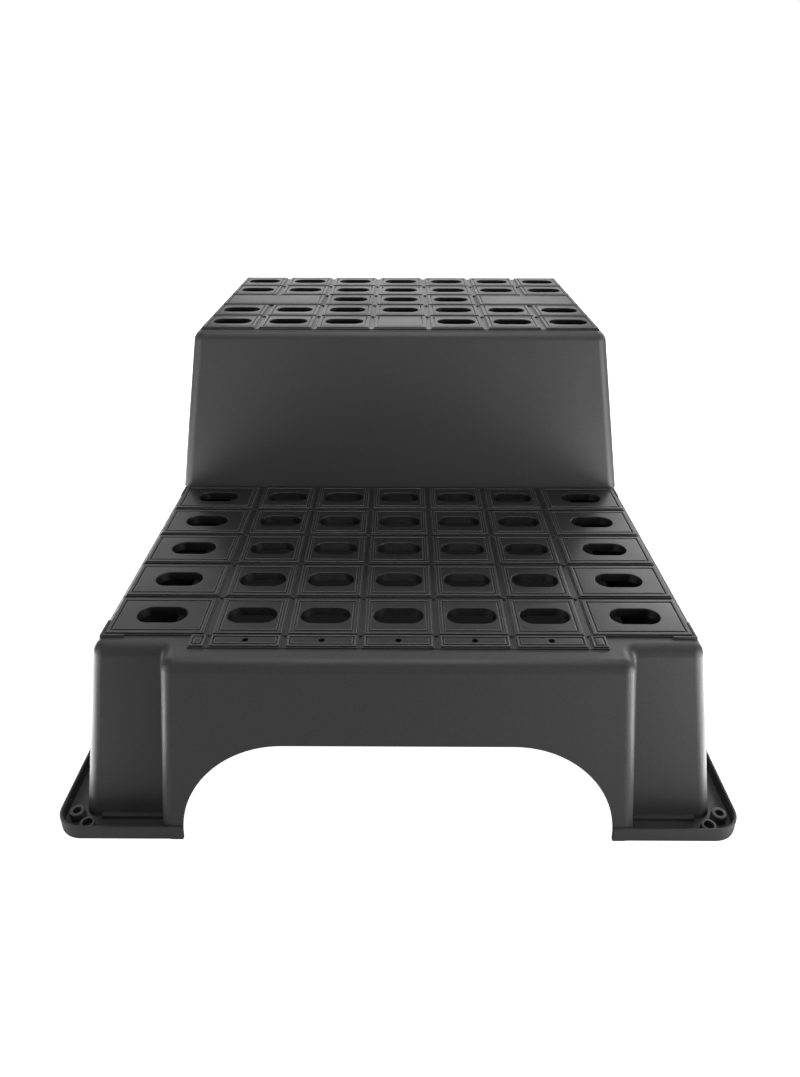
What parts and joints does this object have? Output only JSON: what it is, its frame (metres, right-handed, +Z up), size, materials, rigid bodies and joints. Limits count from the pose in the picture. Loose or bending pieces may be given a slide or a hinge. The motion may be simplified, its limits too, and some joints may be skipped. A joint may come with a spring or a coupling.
{
  "type": "spa steps",
  "caption": "Two-tread plastic spa steps: tapered stacked shells, gridded drain-slot tread strips, an arched front apron and a lipped floor tray with anchor bosses.",
  "frame": {"origin": "on the floor, at the middle of the footprint of the tray's lip", "axes": "+X to the right seen from the front, +Y to the back, +Z up"},
  "size_m": [0.6518, 0.8426, 0.38],
  "materials": {
    "shell_plastic": "fine-grained dark grey moulding",
    "tread_plastic": "slightly lighter grained moulding with worn pad edges",
    "foot_rubber": "matt black rubber",
    "dark_steel": "blackened steel"
  },
  "bodies": {
    "root": {"base_shell": "shell_plastic", "upper_shell": "shell_plastic", "lower_tread_strip_1": "tread_plastic", "lower_tread_strip_2": "tread_plastic", "lower_tread_strip_3": "tread_plastic", "lower_tread_strip_4": "tread_plastic", "lower_tread_strip_5": "tread_plastic", "nosing_strip": "tread_plastic", "upper_tread_strip_1": "tread_plastic", "upper_tread_strip_2": "tread_plastic", "upper_tread_strip_3": "tread_plastic", "upper_tread_strip_4": "tread_plastic", "upper_tread_strip_5": "tread_plastic", "left_blank_plate": "tread_plastic", "right_blank_plate": "tread_plastic", "rubber_foot_front_left": "foot_rubber", "rubber_foot_front_right": "foot_rubber", "rubber_foot_rear_left": "foot_rubber", "rubber_foot_rear_right": "foot_rubber", "foot_screws": "dark_steel", "shell_bolts": "dark_steel", "shell_washers": "dark_steel", "shell_nuts": "dark_steel"}
  },
  "joints": []
}
